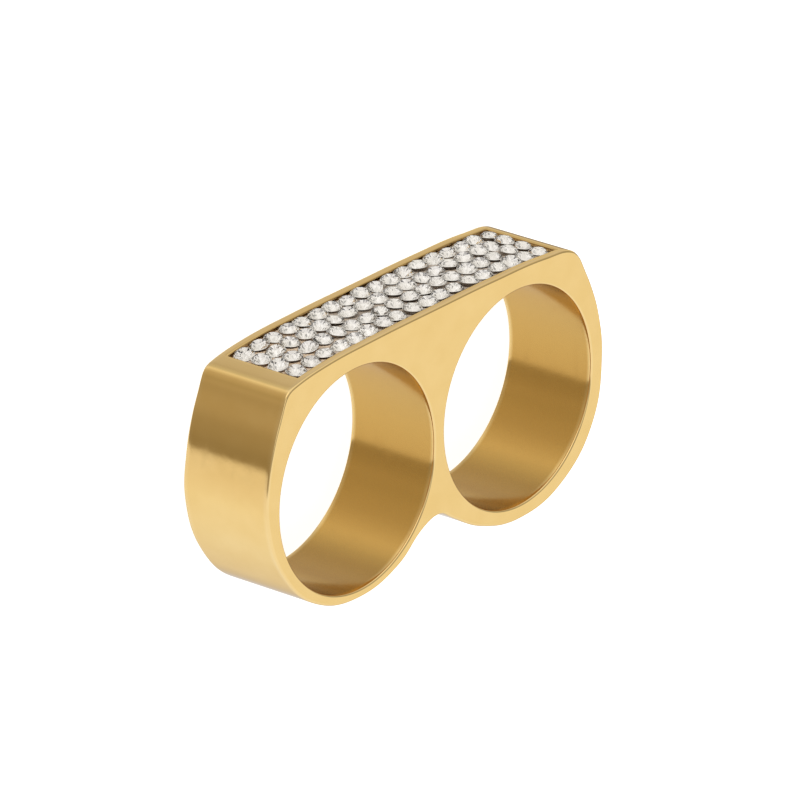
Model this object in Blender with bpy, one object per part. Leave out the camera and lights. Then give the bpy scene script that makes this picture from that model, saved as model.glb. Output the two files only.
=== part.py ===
"""Two finger ring in one casting: two finger bores side by side under a domed top with a sunk, paved tray.

The ring lies on its back face. X runs along the row of fingers, Y points to the paved top and Z
out of the front face. The origin is below the middle of the ring, on the plane it rests on.
"""

import math

import bmesh
import bpy

MM = 0.001

# The casting, seen from its front face; heights are measured from the line through both bore centres.
DEPTH = 9.5 * MM
LEFT_BORE = 20.6 * MM
RIGHT_BORE = 20.4 * MM
BORE_SPACING = 21.83 * MM
TOP_HEIGHT = 12.25 * MM
NOTCH_HEIGHT = -7.2 * MM
EDGE_ROUNDING = 0.2 * MM

# The wall round each bore, in mm, by the angle below the line through the bores on the outer side.
# Columns: degrees below the line, left wall, right wall.
SHANK_WALLS = (
    (-45, 3.25, 3.06),
    (-34, 2.55, 2.43),
    (-20, 1.95, 1.95),
    (0, 1.60, 1.62),
    (30, 1.15, 1.75),
    (60, 1.00, 1.60),
    (90, 0.83, 1.38),
    (118, 0.95, 1.55),
    (138, 1.25, 2.15),
)

# The dome is nearly flat and rolls off towards its ends. These are its drops at that distance from
# the middle: one grows with the square of the distance, the other with its sixth power.
DOME_REACH = 18.8 * MM
DOME_SAG = 0.10 * MM
DOME_ROLL = 0.84 * MM

# The rounded shoulders where the sides meet the dome, in mm.
# Columns: distance from the middle, left drop and right drop below the top.
SHOULDERS = (
    (20.00, 1.56, 2.22),
    (19.62, 1.10, 1.68),
    (18.80, 0.84, 0.92),
)

# Where the dome carries a point of the outline, in mm from the middle.
DOME_STATIONS = (15.0, 8.0)

# The tray in the top, and the bed that carries the stones; depths are measured down from the dome.
TRAY_LENGTH = 35.0 * MM
TRAY_WIDTH = 7.8 * MM
TRAY_DEPTH = 1.2 * MM
BED_GAP = 0.25 * MM
BED_SUNK = 0.4 * MM

# How finely curves are cut up.
OUTLINE_STEPS = 7
BORE_SIDES = 96
ROUNDING_STEPS = 1
TRAY_STEPS = 32

GOLD = (0.80, 0.53, 0.20, 1.0)
RESIN = (0.62, 0.47, 0.34, 1.0)


def dome_height(x, drop=0.0):
    """The height of the dome, or of a surface that runs that far below it."""
    share = abs(x) / DOME_REACH
    return TOP_HEIGHT - drop - DOME_SAG * share**2 - DOME_ROLL * share**6


def half_outline(side, bore, column):
    """One half of the face outline, from beside the notch round to the dome; side is -1 or 1."""
    points = []
    for row in reversed(SHANK_WALLS):
        angle = math.radians(row[0])
        radius = bore / 2 + row[column] * MM
        across = BORE_SPACING / 2 + radius * math.cos(angle)
        points.append((side * across, -radius * math.sin(angle)))
    for row in SHOULDERS:
        points.append((side * row[0] * MM, TOP_HEIGHT - row[column] * MM))
    for across in DOME_STATIONS:
        points.append((side * across * MM, dome_height(across * MM)))
    return points


def face_outline():
    """The whole face outline, anticlockwise from the notch between the shanks."""
    right = half_outline(1, RIGHT_BORE, 2)
    left = half_outline(-1, LEFT_BORE, 1)
    return [(0.0, NOTCH_HEIGHT)] + right + [(0.0, TOP_HEIGHT)] + left[::-1]


def smoothed(points):
    """A closed smooth line through the points, as a Bezier spline with automatic handles draws it."""
    curve = bpy.data.curves.new("smooth_line", "CURVE")
    spline = curve.splines.new("BEZIER")
    spline.bezier_points.add(len(points) - 1)
    for knot, (x, y) in zip(spline.bezier_points, points):
        knot.co = (x, y, 0.0)
        knot.handle_left_type = "AUTO"
        knot.handle_right_type = "AUTO"
    spline.use_cyclic_u = True
    spline.resolution_u = OUTLINE_STEPS
    drawn = bpy.data.objects.new("smooth_line", curve)
    mesh = bpy.data.meshes.new_from_object(drawn)
    line = [(vertex.co.x, vertex.co.y) for vertex in mesh.vertices]
    bpy.data.objects.remove(drawn)
    bpy.data.meshes.remove(mesh)
    return line


def bore_outline(side, bore):
    """A finger bore, clockwise as a hole runs; side is -1 or 1."""
    turns = [-2 * math.pi * i / BORE_SIDES for i in range(BORE_SIDES)]
    across = side * BORE_SPACING / 2
    return [(across + bore / 2 * math.cos(a), bore / 2 * math.sin(a)) for a in turns]


def middle_of(points):
    """The middle of the box round some points."""
    xs, ys = zip(*points)
    return ((min(xs) + max(xs)) / 2, (min(ys) + max(ys)) / 2)


def dome_band(centre, length, top, bottom):
    """A strip that follows the dome: its upper and lower edges lie that far below the dome."""
    xs = [centre + length * (i / TRAY_STEPS - 0.5) for i in range(TRAY_STEPS + 1)]
    lower = [(x, dome_height(x, bottom)) for x in xs]
    upper = [(x, dome_height(x, top)) for x in xs]
    return lower + upper[::-1]


def slab(name, outlines, low, high, rounding, middle, collection):
    """A plate between two heights with the given outlines; an outline inside another one is a hole."""
    curve = bpy.data.curves.new(name, "CURVE")
    curve.dimensions = "2D"
    curve.fill_mode = "BOTH"
    curve.extrude = (high - low) / 2 - rounding
    curve.bevel_depth = rounding
    curve.bevel_resolution = ROUNDING_STEPS
    curve.offset = -rounding
    for outline in outlines:
        spline = curve.splines.new("POLY")
        spline.points.add(len(outline) - 1)
        for point, (x, y) in zip(spline.points, outline):
            point.co = (x, y, 0.0, 1.0)
        spline.use_cyclic_u = True
    drawn = bpy.data.objects.new(name + "_outline", curve)
    drawn.location = (-middle[0], -middle[1], (high + low) / 2)
    collection.objects.link(drawn)
    bpy.context.view_layer.update()
    graph = bpy.context.evaluated_depsgraph_get()
    mesh = bpy.data.meshes.new_from_object(drawn.evaluated_get(graph))
    mesh.transform(drawn.matrix_world)
    bpy.data.objects.remove(drawn)
    shape = bmesh.new()
    shape.from_mesh(mesh)
    bmesh.ops.remove_doubles(shape, verts=shape.verts, dist=0.001 * MM)
    bmesh.ops.recalc_face_normals(shape, faces=shape.faces)
    shape.to_mesh(mesh)
    shape.free()
    solid = bpy.data.objects.new(name, mesh)
    collection.objects.link(solid)
    return solid


def coat(solid, name, colour, metallic, roughness):
    """Gives a solid its own material."""
    material = bpy.data.materials.new(name)
    material.use_nodes = True
    shader = material.node_tree.nodes["Principled BSDF"]
    shader.inputs["Base Color"].default_value = colour
    shader.inputs["Metallic"].default_value = metallic
    shader.inputs["Roughness"].default_value = roughness
    solid.data.materials.clear()
    solid.data.materials.append(material)


def shade(solid):
    """Round surfaces look smooth, and edges steeper than the angle stay sharp."""
    solid.data.shade_smooth()
    solid.data.set_sharp_from_angle(angle=math.radians(35))


for old in list(bpy.data.objects):
    bpy.data.objects.remove(old)

ring = bpy.data.collections.new("two_finger_ring")
cutters = bpy.data.collections.new("ring_cutters")
bpy.context.scene.collection.children.link(ring)
bpy.context.scene.collection.children.link(cutters)

outer = smoothed(face_outline())
middle = middle_of(outer)
bores = [bore_outline(-1, LEFT_BORE), bore_outline(1, RIGHT_BORE)]
ring_body = slab("ring_body", [outer] + bores, 0.0, DEPTH, EDGE_ROUNDING, middle, ring)

# The pocket reaches above the dome, so that it cuts clean through the top.
tray_low = (DEPTH - TRAY_WIDTH) / 2
tray_high = (DEPTH + TRAY_WIDTH) / 2
pocket_band = dome_band(middle[0], TRAY_LENGTH, -2 * TRAY_DEPTH, TRAY_DEPTH)
pocket = slab("tray_pocket", [pocket_band], tray_low, tray_high, 0.0, middle, cutters)
pocket.hide_render = True
pocket.display_type = "WIRE"
cut = ring_body.modifiers.new("sunk tray", "BOOLEAN")
cut.operation = "DIFFERENCE"
cut.solver = "EXACT"
cut.object = pocket

bed_band = dome_band(middle[0], TRAY_LENGTH - 2 * BED_GAP, BED_SUNK, TRAY_DEPTH - BED_GAP)
pave_bed = slab("pave_bed", [bed_band], tray_low + BED_GAP, tray_high - BED_GAP, 0.0, middle, ring)

coat(ring_body, "gold_plated_steel", GOLD, 1.0, 0.2)
coat(pave_bed, "stone_setting_resin", RESIN, 0.0, 0.45)
shade(ring_body)
shade(pave_bed)
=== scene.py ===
"""A ring for two fingers in gold-plated steel, whose domed top holds a tray paved with round crystals.

The ring lies on its back face. X runs along the row of fingers, Y points to the paved top and Z out of
the front face. All lengths are in metres.
"""

import math

import bmesh
import bpy
import numpy as np
from mathutils import Matrix, Vector


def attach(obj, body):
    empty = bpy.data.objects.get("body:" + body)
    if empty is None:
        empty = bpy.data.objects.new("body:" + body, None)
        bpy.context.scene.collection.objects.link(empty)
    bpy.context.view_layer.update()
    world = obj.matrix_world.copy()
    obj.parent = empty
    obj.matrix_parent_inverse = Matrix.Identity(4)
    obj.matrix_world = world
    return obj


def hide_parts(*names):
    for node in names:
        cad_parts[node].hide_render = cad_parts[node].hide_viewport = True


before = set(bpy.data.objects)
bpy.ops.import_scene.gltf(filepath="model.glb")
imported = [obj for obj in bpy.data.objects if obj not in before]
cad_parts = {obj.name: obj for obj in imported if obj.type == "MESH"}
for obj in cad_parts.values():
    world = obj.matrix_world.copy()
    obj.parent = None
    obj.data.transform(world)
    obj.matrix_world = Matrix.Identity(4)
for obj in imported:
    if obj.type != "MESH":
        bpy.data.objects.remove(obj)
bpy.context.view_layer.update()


# Camera and studio.
# The camera looks down on the ring's front left corner through a long lens. The ring lies on a white
# table, in a room that only its gold and its stones show: bright below it, dim and warm to its left,
# with a big softbox over the paved top. The camera itself sees plain white behind the ring.

MM = 0.001

CAMERA_PLACE = Vector((-0.51925, 0.29888, 0.4463))
CAMERA_RIGHT = Vector((0.63983, -0.02243, 0.76819))
CAMERA_FORWARD = Vector((0.69871, -0.39927, -0.59362))
CAMERA_LENS = 385.3
CAMERA_SENSOR = 36.0

camera = bpy.data.objects.new("camera", bpy.data.cameras.new("camera"))
camera.data.lens = CAMERA_LENS
camera.data.sensor_width = CAMERA_SENSOR
camera_up = CAMERA_RIGHT.cross(CAMERA_FORWARD)
camera_axes = Matrix((CAMERA_RIGHT, camera_up, -CAMERA_FORWARD)).transposed()
camera.matrix_world = Matrix.Translation(CAMERA_PLACE) @ camera_axes.to_4x4()
bpy.context.scene.collection.objects.link(camera)
bpy.context.scene.camera = camera
bpy.context.scene.view_settings.view_transform = "Standard"


def node(tree, kind, place=(0, 0), **settings):
    """A new node in a tree, with its properties set by name."""
    made = tree.nodes.new(kind)
    made.location = place
    for key, value in settings.items():
        setattr(made, key, value)
    return made


def feed(tree, socket, value):
    """Sets an input to a value, or links it to an output."""
    if isinstance(value, bpy.types.NodeSocket):
        tree.links.new(value, socket)
    else:
        socket.default_value = value


def arithmetic(tree, operation, first, second=0.0, place=(0, 0), third=0.0):
    """A Math node on two or three values or outputs."""
    result = node(tree, "ShaderNodeMath", place, operation=operation)
    for socket, value in zip(result.inputs, (first, second, third)):
        feed(tree, socket, value)
    return result.outputs[0]


def rescaled(tree, value, before, after, place=(0, 0), kind="LINEAR"):
    """A value brought from one range to another one and held inside it."""
    scale = node(tree, "ShaderNodeMapRange", place, interpolation_type=kind)
    feed(tree, scale.inputs["Value"], value)
    feed(tree, scale.inputs["From Min"], before[0])
    feed(tree, scale.inputs["From Max"], before[1])
    feed(tree, scale.inputs["To Min"], after[0])
    feed(tree, scale.inputs["To Max"], after[1])
    return scale.outputs["Result"]


def mixed_colour(tree, share, first, second, place=(0, 0)):
    """A blend of two colours, each given as a value or an output."""
    blend = node(tree, "ShaderNodeMix", place, data_type="RGBA")
    feed(tree, blend.inputs["Factor"], share)
    # The node has sockets of the same name for each kind of value; these are the ones for colours.
    feed(tree, blend.inputs[6], first)
    feed(tree, blend.inputs[7], second)
    return blend.outputs[2]


# Nearly all values of a noise lie between these two.
NOISE_SPREAD = (0.3, 0.7)


def noise_between(tree, coordinates, scale, low, high, detail=2.0, place=(-900, 0)):
    """A soft noise that runs between two values."""
    noise = node(tree, "ShaderNodeTexNoise", place)
    noise.inputs["Scale"].default_value = scale
    noise.inputs["Detail"].default_value = detail
    tree.links.new(coordinates, noise.inputs["Vector"])
    return rescaled(tree, noise.outputs["Fac"], NOISE_SPREAD, (low, high), (place[0] + 250, place[1]))


def plain_material(name):
    """A new material with its tree, its Principled shader and its Object coordinates."""
    material = bpy.data.materials.new(name)
    material.use_nodes = True
    tree = material.node_tree
    coordinates = node(tree, "ShaderNodeTexCoord", (-1400, 0)).outputs["Object"]
    return material, tree, tree.nodes["Principled BSDF"], coordinates


FLOOR_HALF = 3.0
FLOOR_TONES = (0.86, 0.88)
FLOOR_GRAIN = 40.0
FLOOR_ROUGHNESS = 0.9
FLOOR_GLOW = 0.78

table_white, tree, shader, coordinates = plain_material("table_white")
grain = noise_between(tree, coordinates, FLOOR_GRAIN, *FLOOR_TONES)
tree.links.new(grain, shader.inputs["Base Color"])
shader.inputs["Roughness"].default_value = FLOOR_ROUGHNESS
shader.inputs["Specular IOR Level"].default_value = 0.0
shader.inputs["Emission Color"].default_value = (1.0, 1.0, 1.0, 1.0)
shader.inputs["Emission Strength"].default_value = FLOOR_GLOW

floor_mesh = bpy.data.meshes.new("floor")
corners = [(FLOOR_HALF * x, FLOOR_HALF * y, 0.0) for x, y in ((-1, -1), (1, -1), (1, 1), (-1, 1))]
floor_mesh.from_pydata(corners, [], [range(4)])
floor_mesh.materials.append(table_white)
floor = bpy.data.objects.new("floor", floor_mesh)

# The gold and the stones show the room's own colours in place of the table.
floor.visible_glossy = False
floor.visible_transmission = False
bpy.context.scene.collection.objects.link(floor)

# The room as the metal mirrors it, below the table's level, by the direction in the XY plane.
# Columns: angle in degrees from +X towards +Y, colour.
ROOM_BELOW = (
    (0, (0.96, 0.92, 0.82)),
    (3, (1.00, 0.96, 0.86)),
    (12, (0.88, 0.85, 0.76)),
    (20, (0.88, 0.85, 0.78)),
    (27, (0.75, 0.73, 0.77)),
    (44, (0.74, 0.73, 0.78)),
    (62, (0.59, 0.57, 0.57)),
    (80, (0.68, 0.67, 0.64)),
    (95, (0.93, 0.89, 0.82)),
    (108, (0.76, 0.70, 0.60)),
    (122, (0.60, 0.53, 0.42)),
    (137, (0.54, 0.47, 0.35)),
    (150, (0.47, 0.405, 0.29)),
    (160, (0.49, 0.42, 0.31)),
    (168, (0.41, 0.345, 0.24)),
    (179, (0.34, 0.285, 0.195)),
    (184.5, (0.34, 0.285, 0.195)),
    (188, (0.93, 0.89, 0.85)),
    (215, (1.00, 1.00, 1.00)),
    (250, (1.01, 1.05, 1.18)),
    (285, (1.02, 1.04, 1.18)),
    (310, (0.92, 0.92, 0.98)),
    (336, (0.92, 0.91, 0.90)),
    (346, (0.45, 0.39, 0.31)),
    (353, (0.45, 0.39, 0.31)),
    (360, (0.96, 0.92, 0.82)),
)

# The room above the table's level, by how far a direction leans towards the paved top, from -1 to 1.
ROOM_ABOVE = (
    (-1.0, (1.00, 1.00, 1.00)),
    (-0.18, (1.00, 1.00, 1.00)),
    (-0.10, (0.42, 0.39, 0.33)),
    (0.28, (0.42, 0.39, 0.33)),
    (0.40, (0.48, 0.44, 0.38)),
    (0.60, (0.66, 0.63, 0.58)),
    (0.74, (0.92, 0.91, 0.89)),
    (1.0, (0.95, 0.95, 0.94)),
)

# The room below turns into the room above between these heights of a direction, from -1 to 1.
HORIZON = (-0.1, 0.3)

# The softboxes. Columns: direction, radius and soft edge in degrees, colour.
SOFTBOXES = (
    ((0.0, 0.93, 0.25), 16, 32, (0.95, 0.95, 0.93, 1.0)),
    ((-0.55, 0.25, 0.80), 10, 16, (0.95, 0.93, 0.90, 1.0)),
    ((-0.48, 0.84, 0.22), 14, 26, (1.20, 1.16, 1.08, 1.0)),
)
WHITE_BEHIND = (1.0, 1.0, 1.0, 1.0)

# What the stones throw back after many turns inside them: a soft patchwork of the studio.
# Columns: level of the noise from 0 to 1, colour.
PATCHWORK_SCALE = 2.6
PATCHWORK = (
    (0.34, (0.30, 0.29, 0.27)),
    (0.39, (0.78, 0.75, 0.70)),
    (0.50, (0.98, 0.94, 0.88)),
    (0.62, (1.12, 1.09, 1.05)),
)


def colour_stops(tree, share, stops, place):
    """A colour ramp; each stop is a share from 0 to 1 and a colour."""
    ramp = node(tree, "ShaderNodeValToRGB", place)
    elements = ramp.color_ramp.elements
    elements.remove(elements[1])
    for number, (position, colour) in enumerate(stops):
        element = elements.new(position) if number else elements[0]
        element.position = position
        element.color = colour + (1.0,)
    tree.links.new(share, ramp.inputs["Fac"])
    return ramp.outputs["Color"]


world = bpy.data.worlds.new("studio")
bpy.context.scene.world = world
world.use_nodes = True
tree = world.node_tree
tree.nodes.clear()
direction = node(tree, "ShaderNodeTexCoord", (-1400, 0)).outputs["Generated"]
parts = node(tree, "ShaderNodeSeparateXYZ", (-1200, 0))
tree.links.new(direction, parts.inputs[0])
angle = arithmetic(tree, "ARCTAN2", parts.outputs["Y"], parts.outputs["X"], (-1000, 200))
turns = arithmetic(tree, "DIVIDE", angle, 2 * math.pi, (-800, 200))
angle = arithmetic(tree, "FRACT", turns, 0.0, (-600, 200))
below = colour_stops(tree, angle, [(degrees / 360, colour) for degrees, colour in ROOM_BELOW], (-400, 200))
lean = rescaled(tree, parts.outputs["Y"], (-1.0, 1.0), (0.0, 1.0), (-800, -100))
above = colour_stops(tree, lean, [((y + 1) / 2, colour) for y, colour in ROOM_ABOVE], (-400, -100))
rise = rescaled(tree, parts.outputs["Z"], HORIZON, (0.0, 1.0), (-400, -400), "SMOOTHSTEP")
room = mixed_colour(tree, rise, below, above, (-100, 0))
for number, (centre, radius, soft_radius, colour) in enumerate(SOFTBOXES):
    facing = node(tree, "ShaderNodeVectorMath", (-800, -500 - 300 * number), operation="DOT_PRODUCT")
    facing.inputs[1].default_value = Vector(centre).normalized()
    tree.links.new(direction, facing.inputs[0])
    limits = (math.cos(math.radians(soft_radius)), math.cos(math.radians(radius)))
    inside = rescaled(
        tree, facing.outputs["Value"], limits, (0.0, 1.0), (-500, -500 - 300 * number), "SMOOTHSTEP"
    )
    room = mixed_colour(tree, inside, room, colour, (100 + 200 * number, 0))
patches = node(tree, "ShaderNodeTexNoise", (-400, -1200))
patches.inputs["Scale"].default_value = PATCHWORK_SCALE
tree.links.new(direction, patches.inputs["Vector"])
sparkle = colour_stops(tree, patches.outputs["Fac"], PATCHWORK, (-200, -1200))
seen = node(tree, "ShaderNodeLightPath", (300, 400))
room = mixed_colour(tree, seen.outputs["Is Transmission Ray"], room, sparkle, (450, 0))
mirrored = node(tree, "ShaderNodeBackground", (600, 0))
tree.links.new(room, mirrored.inputs["Color"])
behind = node(tree, "ShaderNodeBackground", (600, -150))
behind.inputs["Color"].default_value = WHITE_BEHIND
choice = node(tree, "ShaderNodeMixShader", (800, 0))
output = node(tree, "ShaderNodeOutputWorld", (1000, 0))
tree.links.new(seen.outputs["Is Camera Ray"], choice.inputs[0])
tree.links.new(mirrored.outputs[0], choice.inputs[1])
tree.links.new(behind.outputs[0], choice.inputs[2])
tree.links.new(choice.outputs[0], output.inputs["Surface"])


# Ring.
# One steel casting, polished and plated gold. Two finger bores lie side by side under a domed top, and
# a shallow tray is sunk in the top. The edges are broken by hand and painted paler as a highlight; the
# bores are satin inside, with painted shade in their deeper gold and low down.

DEPTH = 9.5 * MM
LEFT_BORE = 20.6 * MM
RIGHT_BORE = 20.4 * MM
BORE_SPACING = 21.83 * MM
TOP_HEIGHT = 12.25 * MM
NOTCH_HEIGHT = -7.2 * MM

# The wall round each bore, in mm, by the angle below the line through the bores on the outer side.
# Columns: degrees below the line, left wall, right wall.
SHANK_WALLS = (
    (-45, 3.25, 3.06),
    (-34, 2.55, 2.43),
    (-20, 1.95, 1.95),
    (0, 1.60, 1.62),
    (30, 1.15, 1.75),
    (60, 1.00, 1.60),
    (90, 0.83, 1.38),
    (118, 0.95, 1.55),
    (138, 1.25, 2.15),
)

# The dome is nearly flat and rolls off towards its ends. These are its drops at that distance from
# the middle: one grows with the square of the distance, the other with its sixth power.
DOME_REACH = 18.8 * MM
DOME_SAG = 0.10 * MM
DOME_ROLL = 0.84 * MM

# The rounded shoulders. Columns: distance from the middle, left and right drop below the top, in mm.
SHOULDERS = ((20.00, 1.56, 2.22), (19.62, 1.10, 1.68), (18.80, 0.84, 0.92))
DOME_STATIONS = (15.0, 8.0)

CURVE_STEPS = 24
OUTLINE_SPACING = 0.2 * MM
OUTLINE_SOFTNESS = 0.4 * MM
BORE_SIDES = 240
BORE_ROWS = (1 / 16, 1 / 4, 1 / 2, 3 / 4, 15 / 16)

OUTER_ROUNDING = 0.24 * MM
BORE_ROUNDING = 0.20 * MM
FLAT_BAND = 0.05 * MM
ROUNDING_STEPS = 5

TRAY_LENGTH = 35.0 * MM
TRAY_WIDTH = 7.8 * MM
TRAY_DEPTH = 1.2 * MM
RIM_ROUNDING = 0.25 * MM
RIM_STEPS = 5
TRAY_ROWS = 10
TOP_SIDE_ABOVE = 9.0 * MM

# Polish leaves dirt behind in the tray's corners, and a thin film low in the bores.
# Painted shade darkens the tray's walls, more the deeper they go, and the bores low down.
PAINTED_SHADE_BELOW = -9.6 * MM
PAINTED_SHADE_FADE = 2.9 * MM
PAINTED_SHADE_DOWN_THE_RIM = (0.08, 0.18, 0.34, 0.9, 0.9, 0.9)


def dome_height(x, drop=0.0):
    """The height of the dome, or of a surface that runs that far below it."""
    share = abs(x) / DOME_REACH
    return TOP_HEIGHT - drop - DOME_SAG * share**2 - DOME_ROLL * share**6


def half_outline(side, bore, column):
    """One half of the outline's knots, from beside the notch round to the dome; side is -1 or 1."""
    knots = []
    for row in reversed(SHANK_WALLS):
        below = math.radians(row[0])
        radius = bore / 2 + row[column] * MM
        knots.append((side * (BORE_SPACING / 2 + radius * math.cos(below)), -radius * math.sin(below)))
    for row in SHOULDERS:
        knots.append((side * row[0] * MM, TOP_HEIGHT - row[column] * MM))
    for across in DOME_STATIONS:
        knots.append((side * across * MM, dome_height(across * MM)))
    return knots


def drawn_line(knots):
    """A closed smooth line through the knots, as a Bezier spline with automatic handles draws it."""
    curve = bpy.data.curves.new("smooth_line", "CURVE")
    spline = curve.splines.new("BEZIER")
    spline.bezier_points.add(len(knots) - 1)
    for knot, (x, y) in zip(spline.bezier_points, knots):
        knot.co = (x, y, 0.0)
        knot.handle_left_type = "AUTO"
        knot.handle_right_type = "AUTO"
    spline.use_cyclic_u = True
    spline.resolution_u = CURVE_STEPS
    drawn = bpy.data.objects.new("smooth_line", curve)
    mesh = bpy.data.meshes.new_from_object(drawn)
    line = np.array([vertex.co.xy for vertex in mesh.vertices])
    bpy.data.objects.remove(drawn)
    bpy.data.meshes.remove(mesh)
    return line


def evenly_spaced(line, spacing):
    """The same closed line with its points about that far apart."""
    closed = np.vstack([line, line[:1]])
    along = np.concatenate([[0.0], np.cumsum(np.linalg.norm(np.diff(closed, axis=0), axis=1))])
    count = round(along[-1] / spacing)
    wanted = np.arange(count) * along[-1] / count
    return np.column_stack([np.interp(wanted, along, closed[:, axis]) for axis in (0, 1)])


def softened(line, reach):
    """The closed line with kinks shorter than the reach evened out."""
    steps = math.ceil(3 * reach / OUTLINE_SPACING)
    offsets = np.arange(-steps, steps + 1)
    weights = np.exp(-0.5 * (offsets * OUTLINE_SPACING / reach) ** 2)
    return sum(w * np.roll(line, -o, axis=0) for w, o in zip(weights / weights.sum(), offsets))


def tangents(line):
    """The direction of a closed line at each of its points."""
    ahead = np.roll(line, -1, axis=0) - np.roll(line, 1, axis=0)
    return ahead / np.linalg.norm(ahead, axis=1)[:, None]


def rounded_rows(rounding, between):
    """The rows of a wall from back to front, as pairs of inset and height, with both edges rounded."""
    turns = [math.pi / 2 * step / ROUNDING_STEPS for step in range(ROUNDING_STEPS + 1)]
    edge = [(rounding * (1 - math.sin(a)), rounding * (1 - math.cos(a))) for a in turns]
    back = [(rounding + FLAT_BAND, 0.0)] + edge
    front = [(inset, DEPTH - height) for inset, height in reversed(back)]
    return back + [(0.0, height) for height in between] + front


class RingShape:
    """The ring's mesh while it is built: walls made of rows of vertices, with marks for the finish, the
    painted highlight and the painted shade.
    """

    def __init__(self):
        self.shape = bmesh.new()
        # A mark for rounded edges, which get a painted highlight.
        self.edge = self.shape.verts.layers.float.new("edge")
        # A mark for the bores' straight walls: satin, with painted shade in a deeper gold.
        self.bore = self.shape.verts.layers.float.new("bore")
        # A mark for painted shade in dark brown.
        self.painted_shade = self.shape.verts.layers.float.new("painted_shade")

    def vertex(self, x, y, z, edge=0.0, bore=0.0, painted_shade=0.0):
        made = self.shape.verts.new((x, y, z))
        made[self.edge] = edge
        made[self.bore] = bore
        made[self.painted_shade] = painted_shade
        return made

    def wall(self, line, outward, rows, rounding, bore, missing=lambda i, j: False):
        """Rows of vertices round a closed line, joined by faces; returns them by point and row."""
        grid = []
        for (x, y), (nx, ny) in zip(line, outward):
            column = []
            for inset, height in rows:
                flat = inset > rounding or height in (0.0, DEPTH)
                straight = inset == 0.0 and rounding < height < DEPTH - rounding
                # Rounded edges are marked for a painted highlight.
                edge = 0.0 if flat or straight else 1.0
                # The bores' straight walls are marked for satin and for painted shade in a deeper gold.
                bore_satin_and_shade = bore if straight else 0.0
                # Painted shade low in the bores, fading in below the given height.
                painted_shade_low = bore_satin_and_shade * min(1.0, max(0.0, (PAINTED_SHADE_BELOW - y) / PAINTED_SHADE_FADE))
                column.append(self.vertex(x - nx * inset, y - ny * inset, height, edge, bore_satin_and_shade, painted_shade_low))
            grid.append(column)
        for i, column in enumerate(grid):
            after = grid[(i + 1) % len(grid)]
            for j in range(len(rows) - 1):
                if not missing(i, j):
                    self.shape.faces.new((column[j], after[j], after[j + 1], column[j + 1]))
        return grid

    def cap(self, loops):
        """Fills the flat face inside the first loop and outside the others."""
        edges = []
        for loop in loops:
            edges += [self.shape.edges.get((a, b)) for a, b in zip(loop, loop[1:] + loop[:1])]
        bmesh.ops.triangle_fill(self.shape, edges=edges, use_beauty=True)

    def finished(self, name, material):
        """The mesh as an object, smooth all over and facing out."""
        bmesh.ops.recalc_face_normals(self.shape, faces=self.shape.faces)
        mesh = bpy.data.meshes.new(name)
        self.shape.to_mesh(mesh)
        self.shape.free()
        mesh.shade_smooth()
        mesh.materials.append(material)
        made = bpy.data.objects.new(name, mesh)
        bpy.context.scene.collection.objects.link(made)
        return made


knots = [(0.0, NOTCH_HEIGHT)] + half_outline(1, RIGHT_BORE, 2)
knots += [(0.0, TOP_HEIGHT)] + half_outline(-1, LEFT_BORE, 1)[::-1]
drawn = drawn_line(knots)
middle = (drawn.min(axis=0) + drawn.max(axis=0)) / 2
outline = softened(evenly_spaced(drawn, OUTLINE_SPACING), OUTLINE_SOFTNESS) - middle
along = tangents(outline)
outward = np.column_stack([along[:, 1], -along[:, 0]])

# The outer wall is left open where the tray's mouth lies.
ring_shape = RingShape()
mouth_low = (DEPTH - TRAY_WIDTH) / 2 - RIM_ROUNDING
mouth_high = (DEPTH + TRAY_WIDTH) / 2 + RIM_ROUNDING
across_rows = [mouth_low + (mouth_high - mouth_low) * step / TRAY_ROWS for step in range(TRAY_ROWS + 1)]
rows = rounded_rows(OUTER_ROUNDING, across_rows)
first_row = next(j for j, row in enumerate(rows) if row[1] == across_rows[0])
last_row = first_row + TRAY_ROWS
mouth_half = TRAY_LENGTH / 2 + RIM_ROUNDING
in_mouth = [i for i, (x, y) in enumerate(outline) if y > TOP_SIDE_ABOVE and abs(x) <= mouth_half]
start, end = in_mouth[0], in_mouth[-1]
outer_wall = ring_shape.wall(
    outline, outward, rows, OUTER_ROUNDING, 0.0,
    missing=lambda i, j: start <= i < end and first_row <= j < last_row,
)

# The mouth's edge, as point and row with the way in along and across. It rolls over into the tray's
# walls, which drop to a floor that follows the dome.
mouth = [(i, first_row, 0, 1) for i in range(start + 1, end)]
mouth += [(end, first_row, -1, 1)] + [(end, j, -1, 0) for j in range(first_row + 1, last_row)]
mouth += [(end, last_row, -1, -1)] + [(i, last_row, 0, -1) for i in range(end - 1, start, -1)]
mouth += [(start, last_row, 1, -1)] + [(start, j, 1, 0) for j in range(last_row - 1, first_row, -1)]
mouth += [(start, first_row, 1, 1)]
turns = [math.pi / 2 * (step + 1) / RIM_STEPS for step in range(RIM_STEPS)]
steps_down = [(RIM_ROUNDING * math.sin(a), RIM_ROUNDING * (1 - math.cos(a))) for a in turns]
upper = [outer_wall[i][j] for i, j, _, _ in mouth]
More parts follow.
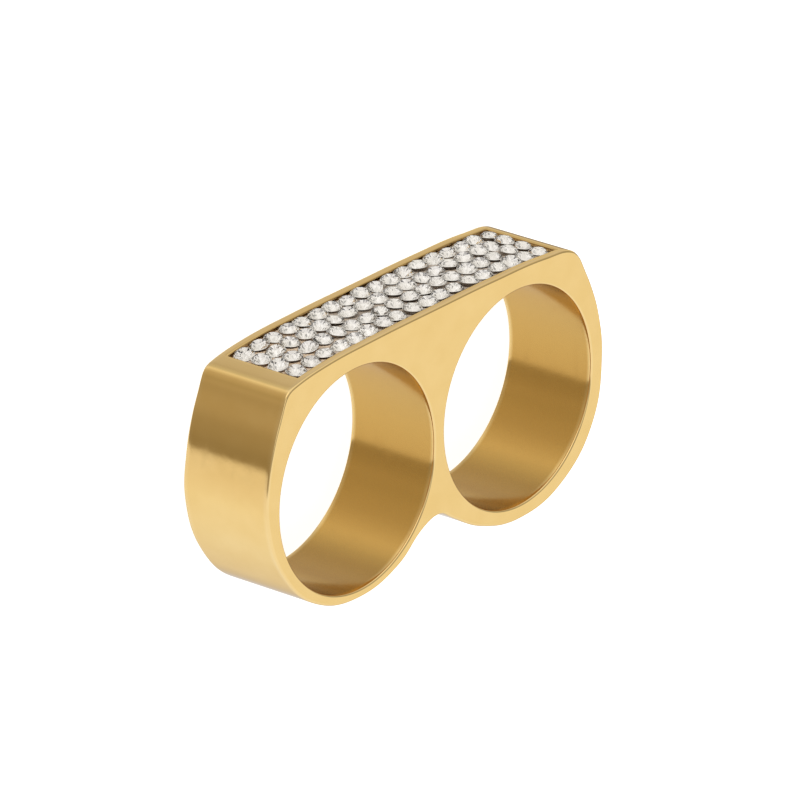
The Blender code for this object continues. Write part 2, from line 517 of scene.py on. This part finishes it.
# Painted shade: the tray's walls darken more the deeper they go.
for painted_shade, (inset, drop) in zip(PAINTED_SHADE_DOWN_THE_RIM, steps_down + [(RIM_ROUNDING, TRAY_DEPTH)]):
    lower = []
    for i, j, lengthwise, crosswise in mouth:
        x, y = outline[i] + along[i] * lengthwise * inset - outward[i] * drop
        z = rows[j][1] + crosswise * inset
        lower.append(ring_shape.vertex(x, y, z, painted_shade=painted_shade))
    for n, corner in enumerate(upper):
        m = (n + 1) % len(upper)
        ring_shape.shape.faces.new((corner, upper[m], lower[m], lower[n]))
    upper = lower
tray_floor = {(i, j): vertex for (i, j, _, _), vertex in zip(mouth, upper)}
for i in range(start + 1, end):
    for j in range(first_row + 1, last_row):
        x, y = outline[i] - outward[i] * TRAY_DEPTH
        tray_floor[i, j] = ring_shape.vertex(x, y, rows[j][1])
for i in range(start, end):
    for j in range(first_row, last_row):
        corners = ((i, j), (i + 1, j), (i + 1, j + 1), (i, j + 1))
        ring_shape.shape.faces.new([tray_floor[corner] for corner in corners])

bore_walls = []
for side, bore in ((-1, LEFT_BORE), (1, RIGHT_BORE)):
    turns = -2 * math.pi * np.arange(BORE_SIDES) / BORE_SIDES
    inward = -np.column_stack([np.cos(turns), np.sin(turns)])
    centre = np.array([side * BORE_SPACING / 2, 0.0]) - middle
    bore_rows = rounded_rows(BORE_ROUNDING, [DEPTH * share for share in BORE_ROWS])
    bore_walls.append(ring_shape.wall(centre - inward * bore / 2, inward, bore_rows, BORE_ROUNDING, 1.0))
for row in (0, -1):
    ring_shape.cap([[column[row] for column in wall] for wall in [outer_wall] + bore_walls])


def group_sockets(tree, inputs, outputs):
    """Gives a node group its inputs, with their values, and its outputs; returns its two end nodes."""
    for name, kind, value in inputs:
        socket = tree.interface.new_socket(name, in_out="INPUT", socket_type=kind)
        if value is not None:
            socket.default_value = value
    for name, kind in outputs:
        tree.interface.new_socket(name, in_out="OUTPUT", socket_type=kind)
    return node(tree, "NodeGroupInput", (-1400, 0)), node(tree, "NodeGroupOutput", (600, 0))


# Fine polishing scratches that run in three directions: 1 in a scratch and 0 beside it.
SCRATCHES_RUN = (12, 71, 133)
SCRATCHES_LEAN = 0.3
SCRATCH_STRETCH = (1.0, 0.03, 0.5)
SCRATCH_DEEPEST = 0.26

hairlines = bpy.data.node_groups.new("hairline_scratches", "ShaderNodeTree")
given, result = group_sockets(
    hairlines,
    [
        ("Vector", "NodeSocketVector", None),
        ("Scale", "NodeSocketFloat", 900.0),
        ("Share", "NodeSocketFloat", 0.34),
    ],
    [("Scratches", "NodeSocketFloat")],
)
total = 0.0
for number, degrees in enumerate(SCRATCHES_RUN):
    laid = node(hairlines, "ShaderNodeMapping", (-1100, -300 * number))
    run = math.radians(degrees)
    laid.inputs["Rotation"].default_value = (run / 2, SCRATCHES_LEAN, run)
    laid.inputs["Scale"].default_value = SCRATCH_STRETCH
    streaks = node(hairlines, "ShaderNodeTexNoise", (-850, -300 * number))
    streaks.inputs["Detail"].default_value = 1.0
    hairlines.links.new(given.outputs["Vector"], laid.inputs["Vector"])
    hairlines.links.new(laid.outputs["Vector"], streaks.inputs["Vector"])
    hairlines.links.new(given.outputs["Scale"], streaks.inputs["Scale"])
    levels = (SCRATCH_DEEPEST, given.outputs["Share"])
    scratch = rescaled(hairlines, streaks.outputs["Fac"], levels, (1.0, 0.0), (-600, -300 * number))
    total = arithmetic(hairlines, "MAXIMUM", scratch, total, (-350, -300 * number))
hairlines.links.new(total, result.inputs["Scratches"])

GOLD = (0.885, 0.630, 0.262, 1.0)
GOLD_DEEP = (0.860, 0.602, 0.238, 1.0)
# A paler gold laid on the rounded edges: a painted highlight.
GOLD_EDGE_HIGHLIGHT = (0.940, 0.720, 0.370, 1.0)
# A deeper gold in the bores: painted shade, for the ring's own shadow that they mirror.
GOLD_IN_BORES_SHADED = (0.65, 0.40, 0.108, 1.0)
# Dark brown down the tray's walls and low in the bores: painted shade.
PAINTED_SHADE_BROWN = (0.26, 0.145, 0.055, 1.0)
METAL_IN_BORES = 0.75
GOLD_AT_GRAZING = (0.72, 0.68, 0.60, 1.0)
POLISH = (0.065, 0.105)
SATIN_IN_BORES = 0.09
PALER_ON_EDGES = 0.4
DULLER_IN_SCRATCHES = 0.06
SCRATCH_DEPTH = 0.5
RELIEF = 0.10
RELIEF_HEIGHT = 0.02 * MM

# The sizes of the finish's patterns, as repeats in a metre.
GOLD_CLOUDS = 420.0
POLISH_CLOUDS = 900.0
ORANGE_PEEL = 650.0

gold, tree, shader, coordinates = plain_material("gold_plate")
scratched = node(tree, "ShaderNodeGroup", (-900, -500), node_tree=hairlines)
tree.links.new(coordinates, scratched.inputs["Vector"])
scratches = scratched.outputs["Scratches"]
clouds = noise_between(tree, coordinates, GOLD_CLOUDS, 0.0, 1.0, place=(-1100, 300))
edge_highlight = node(tree, "ShaderNodeAttribute", (-900, 600), attribute_name="edge").outputs["Fac"]
bore_satin_and_shade = node(tree, "ShaderNodeAttribute", (-900, 800), attribute_name="bore").outputs["Fac"]
colour = mixed_colour(tree, clouds, GOLD, GOLD_DEEP, (-500, 300))
# Painted highlight: the rounded edges are made paler.
highlight_share = arithmetic(tree, "MULTIPLY", edge_highlight, PALER_ON_EDGES, (-500, 600))
colour = mixed_colour(tree, highlight_share, colour, GOLD_EDGE_HIGHLIGHT, (-250, 300))
# Painted shade: the bores take a deeper gold.
colour = mixed_colour(tree, bore_satin_and_shade, colour, GOLD_IN_BORES_SHADED, (0, 300))
# Painted shade: dark brown down the tray's walls and low in the bores.
painted_shade_share = node(tree, "ShaderNodeAttribute", (-250, 1000), attribute_name="painted_shade").outputs["Fac"]
colour = mixed_colour(tree, painted_shade_share, colour, PAINTED_SHADE_BROWN, (250, 300))
tree.links.new(colour, shader.inputs["Base Color"])
metal = rescaled(tree, bore_satin_and_shade, (0.0, 1.0), (1.0, METAL_IN_BORES), (-250, 800))
tree.links.new(metal, shader.inputs["Metallic"])
rough = noise_between(tree, coordinates, POLISH_CLOUDS, *POLISH, place=(-1100, 0))
satin = arithmetic(tree, "MULTIPLY", bore_satin_and_shade, SATIN_IN_BORES, (-700, 800))
rough = arithmetic(tree, "ADD", rough, satin, (-450, 0))
scuffed = arithmetic(tree, "MULTIPLY", scratches, DULLER_IN_SCRATCHES, (-600, -300))
rough = arithmetic(tree, "ADD", rough, scuffed, (-300, 0))
tree.links.new(rough, shader.inputs["Roughness"])
shader.inputs["Specular Tint"].default_value = GOLD_AT_GRAZING
peel = noise_between(tree, coordinates, ORANGE_PEEL, 0.0, 1.0, 3.0, (-1100, -800))
cut_in = arithmetic(tree, "MULTIPLY", scratches, SCRATCH_DEPTH, (-600, -600))
bump = node(tree, "ShaderNodeBump", (-200, -500))
bump.inputs["Strength"].default_value = RELIEF
bump.inputs["Distance"].default_value = RELIEF_HEIGHT
tree.links.new(arithmetic(tree, "SUBTRACT", peel, cut_in, (-400, -700)), bump.inputs["Height"])
tree.links.new(bump.outputs["Normal"], shader.inputs["Normal"])

ring = ring_shape.finished("gold_ring", gold)
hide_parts("ring_body")
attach(ring, "root")


# Setting bed.
# A layer of beige setting clay pressed into the tray. It rises a little between the stones, and each
# stone sits in its own cup.

STONE_ROWS = 4
STONES_PER_ROW = 18
STONE_SPREAD = (34.8 * MM, 7.66 * MM)
STONE_SHIFT = -0.05 * MM
STONE_DIAMETER = 1.85 * MM
BED_SURFACE = 0.37 * MM
BED_BOTTOM = 1.12 * MM
CUP_DEPTH = 0.65 * MM
BED_POINTS = (434, 92)
BED_SLACK = 0.1 * MM

pitch = (STONE_SPREAD[0] / STONES_PER_ROW, STONE_SPREAD[1] / STONE_ROWS)


def bed_height(x, z):
    """How far the clay lies below the dome: least between four stones, most in a stone's cup."""
    from_stone_x = ((x - STONE_SHIFT + STONE_SPREAD[0] / 2) / pitch[0] % 1 - 0.5) * pitch[0]
    from_stone_z = ((z + STONE_SPREAD[1] / 2) / pitch[1] % 1 - 0.5) * pitch[1]
    reach = math.hypot(from_stone_x, from_stone_z) / (STONE_DIAMETER / 2)
    return BED_SURFACE + CUP_DEPTH * max(0.0, 1 - reach)


def dome_point(x, z, drop):
    """A place that far below the dome, by its distance from the middle of the tray along and across."""
    return (x, dome_height(x + middle[0], drop) - middle[1], DEPTH / 2 + z)


bed_shape = bmesh.new()
half_length = TRAY_LENGTH / 2 - BED_SLACK
half_width = TRAY_WIDTH / 2 - BED_SLACK
columns, lines = BED_POINTS
layers = []
for top in (True, False):
    layer = []
    for n in range(columns):
        x = half_length * (2 * n / (columns - 1) - 1)
        zs = [half_width * (2 * m / (lines - 1) - 1) for m in range(lines)]
        drops = [bed_height(x, z) if top else BED_BOTTOM for z in zs]
        layer.append([bed_shape.verts.new(dome_point(x, z, drop)) for z, drop in zip(zs, drops)])
    for n in range(columns - 1):
        for m in range(lines - 1):
            corners = [layer[n][m], layer[n + 1][m], layer[n + 1][m + 1], layer[n][m + 1]]
            bed_shape.faces.new(corners)
    layers.append(layer)
around = [(n, 0) for n in range(columns)] + [(columns - 1, m) for m in range(1, lines)]
around += [(n, lines - 1) for n in range(columns - 2, -1, -1)] + [(0, m) for m in range(lines - 2, 0, -1)]
for (n, m), (p, q) in zip(around, around[1:] + around[:1]):
    bed_shape.faces.new((layers[0][n][m], layers[0][p][q], layers[1][p][q], layers[1][n][m]))
bmesh.ops.recalc_face_normals(bed_shape, faces=bed_shape.faces)
bed_mesh = bpy.data.meshes.new("setting_bed")
bed_shape.to_mesh(bed_mesh)
bed_shape.free()
bed_mesh.shade_smooth()

CLAY_LIGHT = (0.84, 0.66, 0.48, 1.0)
CLAY_DARK = (0.62, 0.47, 0.33, 1.0)
CLAY_GREY = (0.46, 0.40, 0.34, 1.0)
CLAY_ROUGHNESS = (0.35, 0.65)
CLAY_RELIEF = 0.5
CLAY_RELIEF_HEIGHT = 0.06 * MM

# The clay is peach at the left end and turns greyer towards the right.
GREYING_FROM = -13.0 * MM
GREYING_TO = -7.0 * MM
GREYING_SHARE = 0.8

# The sizes of the clay's patterns, as repeats in a metre.
CLAY_SPECKLE = 1500.0
CLAY_GLOSS = 2200.0
CLAY_GRAIN = 2600.0

clay, tree, shader, coordinates = plain_material("setting_clay")
speckle = noise_between(tree, coordinates, CLAY_SPECKLE, 0.0, 1.0, 4.0, (-1100, 300))
colour = mixed_colour(tree, speckle, CLAY_LIGHT, CLAY_DARK, (-400, 300))
parts = node(tree, "ShaderNodeSeparateXYZ", (-1100, 600))
tree.links.new(coordinates, parts.inputs[0])
greying = rescaled(tree, parts.outputs["X"], (GREYING_FROM, GREYING_TO), (0.0, GREYING_SHARE), (-700, 600))
colour = mixed_colour(tree, greying, colour, CLAY_GREY, (-150, 300))
tree.links.new(colour, shader.inputs["Base Color"])
rough = noise_between(tree, coordinates, CLAY_GLOSS, *CLAY_ROUGHNESS, place=(-1100, 0))
tree.links.new(rough, shader.inputs["Roughness"])
bump = node(tree, "ShaderNodeBump", (-300, -300))
bump.inputs["Strength"].default_value = CLAY_RELIEF
bump.inputs["Distance"].default_value = CLAY_RELIEF_HEIGHT
grains = noise_between(tree, coordinates, CLAY_GRAIN, 0.0, 1.0, 3.0, (-1100, -400))
tree.links.new(grains, bump.inputs["Height"])
tree.links.new(bump.outputs["Normal"], shader.inputs["Normal"])

bed_mesh.materials.append(clay)
bed = bpy.data.objects.new("setting_bed", bed_mesh)
bpy.context.scene.collection.objects.link(bed)
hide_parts("pave_bed")
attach(bed, "root")


# Crystals.
# Round brilliants of clear crystal glass, foiled silver behind. They are pressed into the clay by
# hand in four rows of eighteen, so each one sits a little off its place and tilts its own way.

CROWN_HEIGHT = 0.36 * MM
GIRDLE = 0.05 * MM
PAVILION_DEPTH = 0.62 * MM
TABLE_SHARE = 0.54
STAR_SHARE = 0.80
LOWER_SHARE = 0.28
GIRDLE_SUNK = 0.18 * MM
PLACE_SLACK = 0.09 * MM
TILT_SLACK = math.radians(7.0)
SIZE_SLACK = 0.04
STONE_SEED = 11

# A stone turns about its own axis this many times as freely as it tilts.
SPIN = 8


def turned(radius, eighths, height):
    """A point of the stone, by the eighths of a turn from its first facet."""
    a = math.pi / 4 * eighths
    return (radius * math.cos(a), radius * math.sin(a), height)


def brilliant(radius):
    """One faceted stone: table, stars, kites and girdle triangles above, and mains and halves below."""
    fold = math.cos(math.pi / 8)
    star_height = CROWN_HEIGHT * (1 - STAR_SHARE * fold) / (1 - TABLE_SHARE)
    lower_height = -GIRDLE - (PAVILION_DEPTH - GIRDLE) * (1 - LOWER_SHARE * fold)
    shape = bmesh.new()
    foiled = shape.faces.layers.bool.new("foiled")
    rings = {
        "table": [turned(radius * TABLE_SHARE, k, CROWN_HEIGHT) for k in range(8)],
        "star": [turned(radius * STAR_SHARE, k + 0.5, star_height) for k in range(8)],
        "girdle": [turned(radius, k / 2, 0.0) for k in range(16)],
        "foot": [turned(radius, k / 2, -GIRDLE) for k in range(16)],
        "lower": [turned(radius * LOWER_SHARE, k + 0.5, lower_height) for k in range(8)],
    }
    at = {name: [shape.verts.new(point) for point in ring] for name, ring in rings.items()}
    tip = shape.verts.new((0.0, 0.0, -PAVILION_DEPTH))
    shape.faces.new(at["table"])
    for k in range(8):
        after = (k + 1) % 8
        corner, between, corner_after = 2 * k, 2 * k + 1, (2 * k + 2) % 16
        shape.faces.new((at["table"][k], at["star"][k], at["table"][after]))
        shape.faces.new((at["table"][k], at["star"][k - 1], at["girdle"][corner], at["star"][k]))
        shape.faces.new((at["star"][k], at["girdle"][corner], at["girdle"][between]))
        shape.faces.new((at["star"][k], at["girdle"][between], at["girdle"][corner_after]))
        for one, other in ((corner, between), (between, corner_after)):
            shape.faces.new((at["girdle"][one], at["foot"][one], at["foot"][other], at["girdle"][other]))
        facets = (
            (at["foot"][corner], at["lower"][k - 1], tip, at["lower"][k]),
            (at["foot"][corner], at["lower"][k], at["foot"][between]),
            (at["foot"][between], at["lower"][k], at["foot"][corner_after]),
        )
        for corners in facets:
            shape.faces.new(corners)[foiled] = True
    bmesh.ops.recalc_face_normals(shape, faces=shape.faces)
    mesh = bpy.data.meshes.new("brilliant")
    shape.to_mesh(mesh)
    shape.free()
    return bpy.data.objects.new("brilliant", mesh)


GLASS_BENDING = 1.6
GLASS_ROUGHNESS = (0.0, 0.03)
GLASS_CLEAR = (1.0, 1.0, 1.0, 1.0)
GLASS_DIM = (0.96, 0.96, 0.97, 1.0)
FOIL_BRIGHT = (0.97, 0.96, 0.94, 1.0)
FOIL_DIM = (0.88, 0.86, 0.82, 1.0)
FOIL_ROUGHNESS = (0.03, 0.12)

# The sizes of the stones' patterns, as repeats in a metre.
GLASS_CLOUDS = 500.0
GLASS_GLOSS = 3000.0
FOIL_TARNISH = 900.0
FOIL_GLOSS = 700.0

crystal, tree, shader, coordinates = plain_material("crystal_glass")
shader.inputs["Transmission Weight"].default_value = 1.0
shader.inputs["IOR"].default_value = GLASS_BENDING
cloudy = noise_between(tree, coordinates, GLASS_CLOUDS, 0.0, 1.0, place=(-1100, 300))
tree.links.new(mixed_colour(tree, cloudy, GLASS_CLEAR, GLASS_DIM, (-400, 300)), shader.inputs["Base Color"])
rough = noise_between(tree, coordinates, GLASS_GLOSS, *GLASS_ROUGHNESS, place=(-1100, 0))
tree.links.new(rough, shader.inputs["Roughness"])

foil, tree, shader, coordinates = plain_material("silver_foil")
shader.inputs["Metallic"].default_value = 1.0
tarnish = noise_between(tree, coordinates, FOIL_TARNISH, 0.0, 1.0, place=(-1100, 300))
tree.links.new(mixed_colour(tree, tarnish, FOIL_BRIGHT, FOIL_DIM, (-400, 300)), shader.inputs["Base Color"])
rough = noise_between(tree, coordinates, FOIL_GLOSS, *FOIL_ROUGHNESS, place=(-1100, 0))
tree.links.new(rough, shader.inputs["Roughness"])

# The stones are laid out by this node tree.
tree = bpy.data.node_groups.new("paved_stones", "GeometryNodeTree")
given, result = group_sockets(
    tree,
    [
        ("Geometry", "NodeSocketGeometry", None),
        ("Stone", "NodeSocketObject", None),
        ("Length", "NodeSocketFloat", 0.0),
        ("Width", "NodeSocketFloat", 0.0),
        ("Shift", "NodeSocketFloat", 0.0),
        ("Stones Along", "NodeSocketInt", 2),
        ("Stones Across", "NodeSocketInt", 2),
        ("Dome Reach", "NodeSocketFloat", 1.0),
        ("Dome Sag", "NodeSocketFloat", 0.0),
        ("Dome Roll", "NodeSocketFloat", 0.0),
        ("Top Of Dome", "NodeSocketVector", None),
        ("Place Slack", "NodeSocketFloat", 0.0),
        ("Tilt Slack", "NodeSocketFloat", 0.0),
        ("Size Slack", "NodeSocketFloat", 0.0),
        ("Seed", "NodeSocketInt", 0),
        ("Glass", "NodeSocketMaterial", None),
        ("Foil", "NodeSocketMaterial", None),
    ],
    [("Geometry", "NodeSocketGeometry")],
)


def random_vector(low, high, seed_step, place):
    """A random vector for each stone, between two limits."""
    chance = node(tree, "FunctionNodeRandomValue", place, data_type="FLOAT_VECTOR")
    chance.inputs["Min"].default_value = low
    chance.inputs["Max"].default_value = high
    seed = arithmetic(tree, "ADD", given.outputs["Seed"], seed_step, (place[0] - 200, place[1]))
    tree.links.new(seed, chance.inputs["Seed"])
    return chance.outputs["Value"]


def scaled(vector, factor, place):
    """A vector times a factor."""
    product = node(tree, "ShaderNodeVectorMath", place, operation="SCALE")
    tree.links.new(vector, product.inputs[0])
    tree.links.new(factor, product.inputs["Scale"])
    return product.outputs[0]


def added(first, second, place):
    """The sum of two vectors."""
    total = node(tree, "ShaderNodeVectorMath", place, operation="ADD")
    tree.links.new(first, total.inputs[0])
    tree.links.new(second, total.inputs[1])
    return total.outputs[0]


def assembled(x, y, z, place):
    """A vector from three values or outputs."""
    whole = node(tree, "ShaderNodeCombineXYZ", place)
    for socket, value in zip(whole.inputs, (x, y, z)):
        feed(tree, socket, value)
    return whole.outputs[0]


# The grid of places is laid flat first, and then bent along the dome.
places = node(tree, "GeometryNodeMeshGrid", (-1100, 200))
tree.links.new(given.outputs["Length"], places.inputs["Size X"])
tree.links.new(given.outputs["Width"], places.inputs["Size Y"])
tree.links.new(given.outputs["Stones Along"], places.inputs["Vertices X"])
tree.links.new(given.outputs["Stones Across"], places.inputs["Vertices Y"])
flat_place = node(tree, "ShaderNodeSeparateXYZ", (-900, -100))
tree.links.new(node(tree, "GeometryNodeInputPosition", (-1100, -100)).outputs[0], flat_place.inputs[0])
shifted = arithmetic(tree, "ADD", flat_place.outputs["X"], given.outputs["Shift"], (-800, 0))
share = arithmetic(tree, "DIVIDE", shifted, given.outputs["Dome Reach"], (-700, -100))
squared = arithmetic(tree, "MULTIPLY", share, share, (-600, 0))
sixth = arithmetic(tree, "POWER", squared, 3.0, (-600, -150))
sag = arithmetic(tree, "MULTIPLY", squared, given.outputs["Dome Sag"], (-450, 0))
roll = arithmetic(tree, "MULTIPLY", sixth, given.outputs["Dome Roll"], (-450, -150))
fall = arithmetic(tree, "ADD", sag, roll, (-300, -50))
height = arithmetic(tree, "SUBTRACT", 0.0, fall, (-200, -50))
on_dome = assembled(shifted, height, flat_place.outputs["Y"], (-100, -100))
chance = random_vector((-1, -1, -1), (1, 1, 1), 0, (-500, -900))
off_place = scaled(chance, given.outputs["Place Slack"], (-100, -900))
bent = node(tree, "GeometryNodeSetPosition", (100, 200))
tree.links.new(places.outputs["Mesh"], bent.inputs["Geometry"])
on_ring = added(on_dome, given.outputs["Top Of Dome"], (0, -400))
tree.links.new(added(on_ring, off_place, (0, -600)), bent.inputs["Position"])

# A stone's own axis is turned from Z up to Y, spun, and leant with the dome's slope.
steepness = arithmetic(tree, "MULTIPLY", sag, 2.0, (-700, -300))
steepness = arithmetic(tree, "MULTIPLY_ADD", roll, 6.0, (-600, -300), steepness)
away = arithmetic(tree, "MULTIPLY", shifted, -1.0, (-500, -400))
lean = arithmetic(tree, "DIVIDE", steepness, away, (-400, -300))
upright = assembled(-math.pi / 2, 0.0, lean, (-100, -300))
chance = random_vector((-1, -SPIN, -1), (1, SPIN, 1), 1, (-500, -1200))
tilt = scaled(chance, given.outputs["Tilt Slack"], (-100, -1200))
facing = node(tree, "FunctionNodeEulerToRotation", (300, -300))
tree.links.new(added(upright, tilt, (200, -600)), facing.inputs[0])
size = node(tree, "FunctionNodeRandomValue", (100, -1500), data_type="FLOAT")
least = arithmetic(tree, "SUBTRACT", 1.0, given.outputs["Size Slack"], (-100, -1500))
most = arithmetic(tree, "ADD", 1.0, given.outputs["Size Slack"], (-100, -1700))
# The node has two sockets for each kind of value; these are the ones for plain numbers.
tree.links.new(least, size.inputs[2])
tree.links.new(most, size.inputs[3])
tree.links.new(given.outputs["Seed"], size.inputs["Seed"])
stone_in = node(tree, "GeometryNodeObjectInfo", (250, 500))
tree.links.new(given.outputs["Stone"], stone_in.inputs["Object"])
set_out = node(tree, "GeometryNodeInstanceOnPoints", (500, 200))
tree.links.new(bent.outputs[0], set_out.inputs["Points"])
tree.links.new(stone_in.outputs["Geometry"], set_out.inputs["Instance"])
tree.links.new(facing.outputs[0], set_out.inputs["Rotation"])
tree.links.new(size.outputs[1], set_out.inputs["Scale"])
realized = node(tree, "GeometryNodeRealizeInstances", (700, 200))
tree.links.new(set_out.outputs[0], realized.inputs[0])
glazed = node(tree, "GeometryNodeSetMaterial", (900, 200))
tree.links.new(realized.outputs[0], glazed.inputs["Geometry"])
tree.links.new(given.outputs["Glass"], glazed.inputs["Material"])
backed = node(tree, "GeometryNodeSetMaterial", (1100, 200))
foiled_faces = node(tree, "GeometryNodeInputNamedAttribute", (900, -100), data_type="BOOLEAN")
foiled_faces.inputs["Name"].default_value = "foiled"
tree.links.new(glazed.outputs[0], backed.inputs["Geometry"])
tree.links.new(foiled_faces.outputs["Attribute"], backed.inputs["Selection"])
tree.links.new(given.outputs["Foil"], backed.inputs["Material"])
tree.links.new(backed.outputs[0], result.inputs["Geometry"])

stone = brilliant(STONE_DIAMETER / 2)
bpy.context.scene.collection.objects.link(stone)
layout = bpy.data.objects.new("crystal_layout", bpy.data.meshes.new("crystal_layout"))
bpy.context.scene.collection.objects.link(layout)
paving = layout.modifiers.new("paved stones", "NODES")
paving.node_group = tree
settings = {
    "Stone": stone,
    "Length": STONE_SPREAD[0] - pitch[0],
    "Width": STONE_SPREAD[1] - pitch[1],
    "Shift": STONE_SHIFT + float(middle[0]),
    "Stones Along": STONES_PER_ROW,
    "Stones Across": STONE_ROWS,
    "Dome Reach": DOME_REACH,
    "Dome Sag": DOME_SAG,
    "Dome Roll": DOME_ROLL,
    "Top Of Dome": (-middle[0], TOP_HEIGHT - GIRDLE_SUNK - middle[1], DEPTH / 2),
    "Place Slack": PLACE_SLACK,
    "Tilt Slack": TILT_SLACK,
    "Size Slack": SIZE_SLACK,
    "Seed": STONE_SEED,
    "Glass": crystal,
    "Foil": foil,
}
for socket in tree.interface.items_tree:
    if socket.in_out == "INPUT" and socket.name in settings:
        paving[socket.identifier] = settings[socket.name]
bpy.context.view_layer.update()
graph = bpy.context.evaluated_depsgraph_get()
crystal_mesh = bpy.data.meshes.new_from_object(layout.evaluated_get(graph))
crystal_mesh.name = "crystals"
crystals = bpy.data.objects.new("crystals", crystal_mesh)
bpy.context.scene.collection.objects.link(crystals)
bpy.data.objects.remove(layout)
bpy.data.objects.remove(stone)
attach(crystals, "root")
